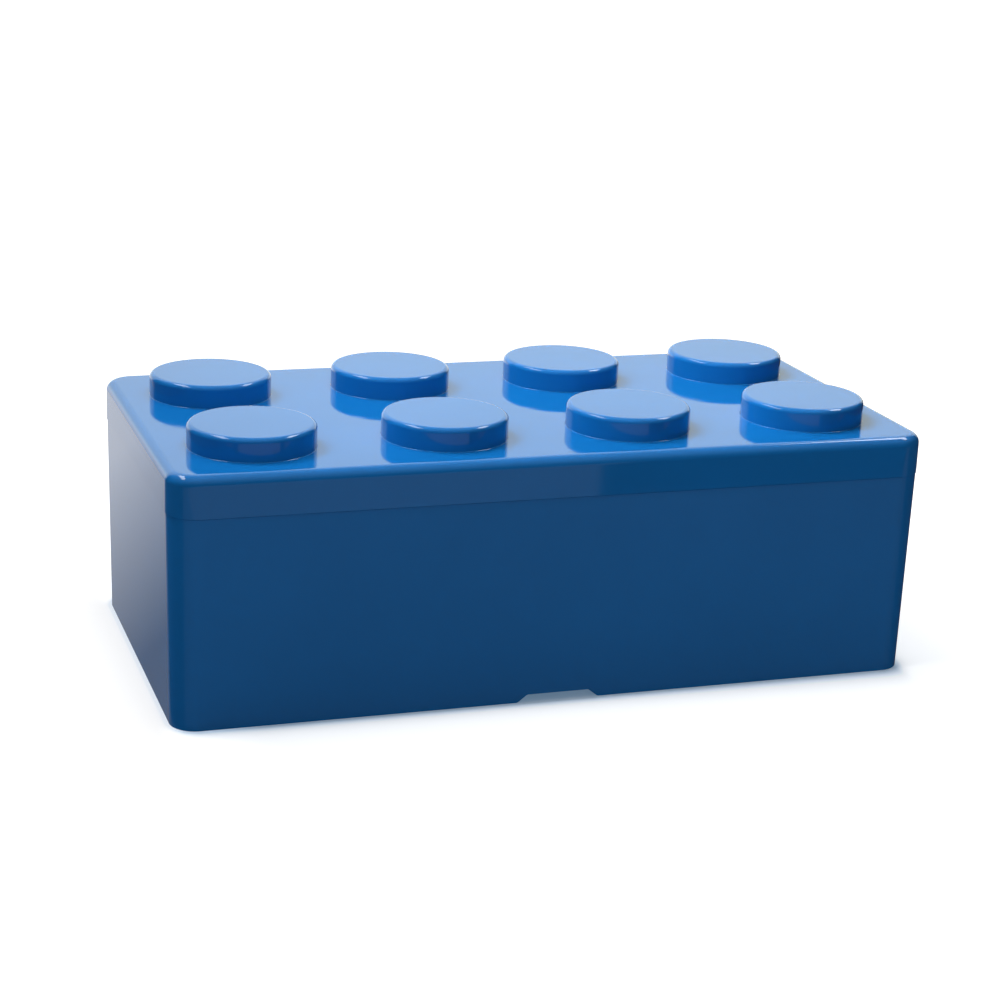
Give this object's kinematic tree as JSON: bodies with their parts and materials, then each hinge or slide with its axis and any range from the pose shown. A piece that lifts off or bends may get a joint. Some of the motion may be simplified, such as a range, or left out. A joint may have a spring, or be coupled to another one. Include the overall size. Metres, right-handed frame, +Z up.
{
  "type": "stackable brick-shaped storage box",
  "caption": "Closed rectangular storage box shaped like a toy building brick: a hollow tub with a recessed base under a lift-off lid with round studs, so that boxes stack.",
  "frame": {"origin": "centre of the base, in the plane that the box stands on", "axes": "+X along the length, +Y to the back, away from the front with the finger notch, +Z up through the studs"},
  "size_m": [0.265, 0.135, 0.094],
  "materials": {
    "blue_plastic": "smooth moulded gloss"
  },
  "bodies": {
    "tub": {"tub": "blue_plastic"},
    "lid": {"lid": "blue_plastic"}
  },
  "joints": [
    {"name": "lid_lift", "type": "slide", "parent": "tub", "child": "lid", "axis": [0, 0, 1], "range_m": [0, 0.12]}
  ]
}
